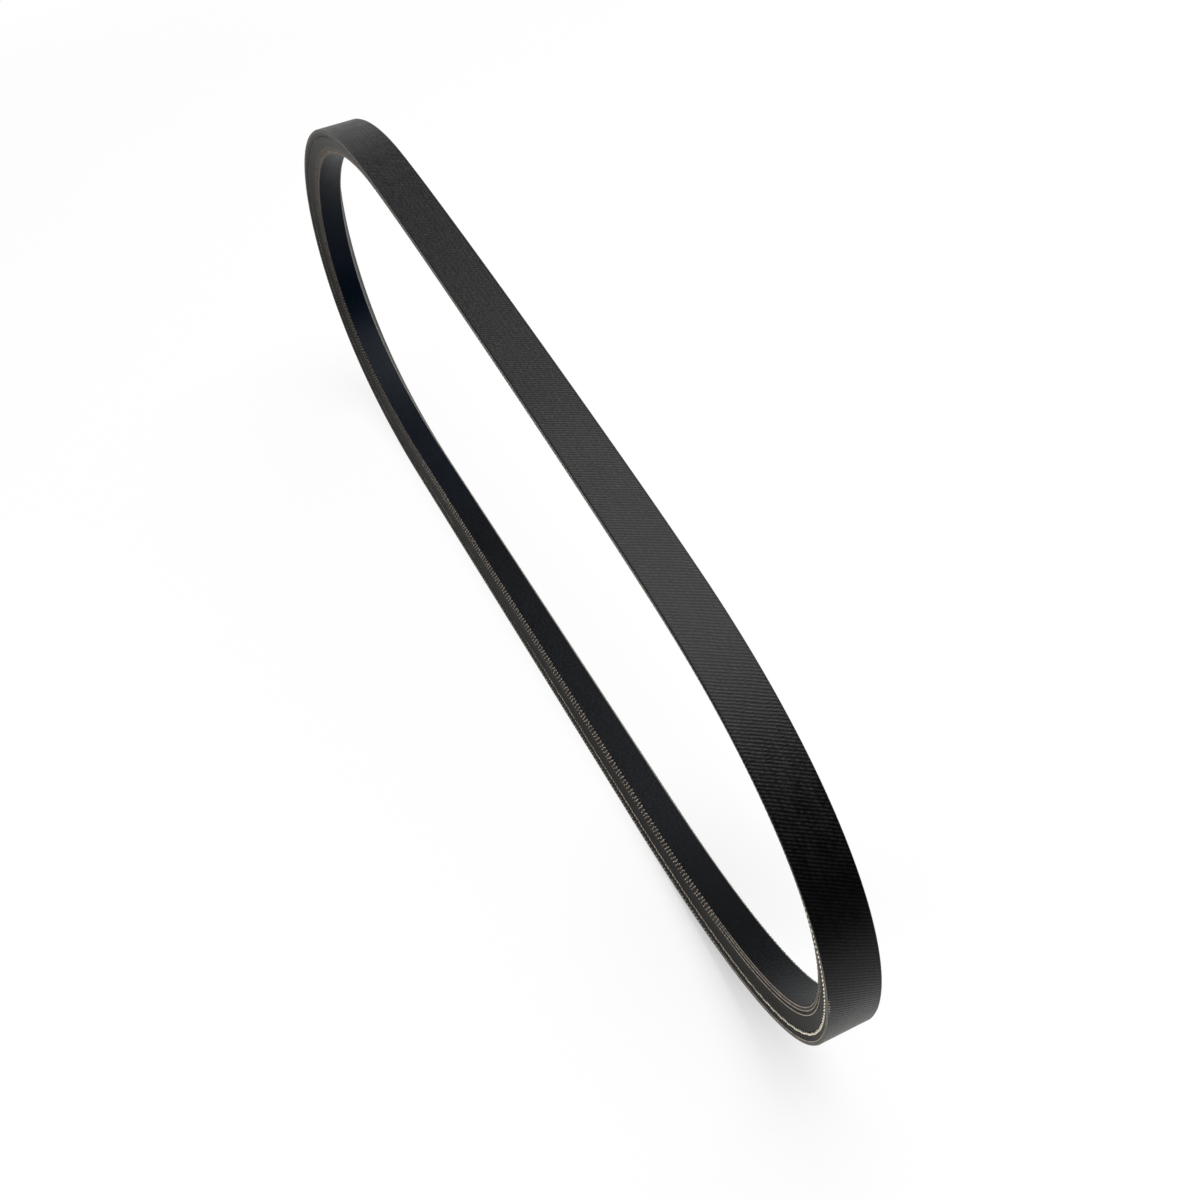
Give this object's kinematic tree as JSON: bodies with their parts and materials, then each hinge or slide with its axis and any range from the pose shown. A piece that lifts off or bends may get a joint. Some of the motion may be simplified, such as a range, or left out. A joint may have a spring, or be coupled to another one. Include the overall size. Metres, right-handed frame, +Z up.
{
  "type": "air conditioning belt",
  "caption": "Closed raw-edge V belt for a car's air conditioning compressor drive, standing slack on its back in an uneven oval.",
  "frame": {"origin": "on the surface the belt stands on, midway between the two ends of the loop and in the middle of the belt's width", "axes": "+Z up, +X along the loop's long axis towards its lower end, +Y across the belt's width"},
  "size_m": [0.354, 0.0126, 0.127],
  "materials": {
    "belt_rubber": "dull black rubber, woven on the back and the inner face, ground on the flanks"
  },
  "bodies": {
    "root": {"v_belt": "belt_rubber"}
  },
  "joints": []
}
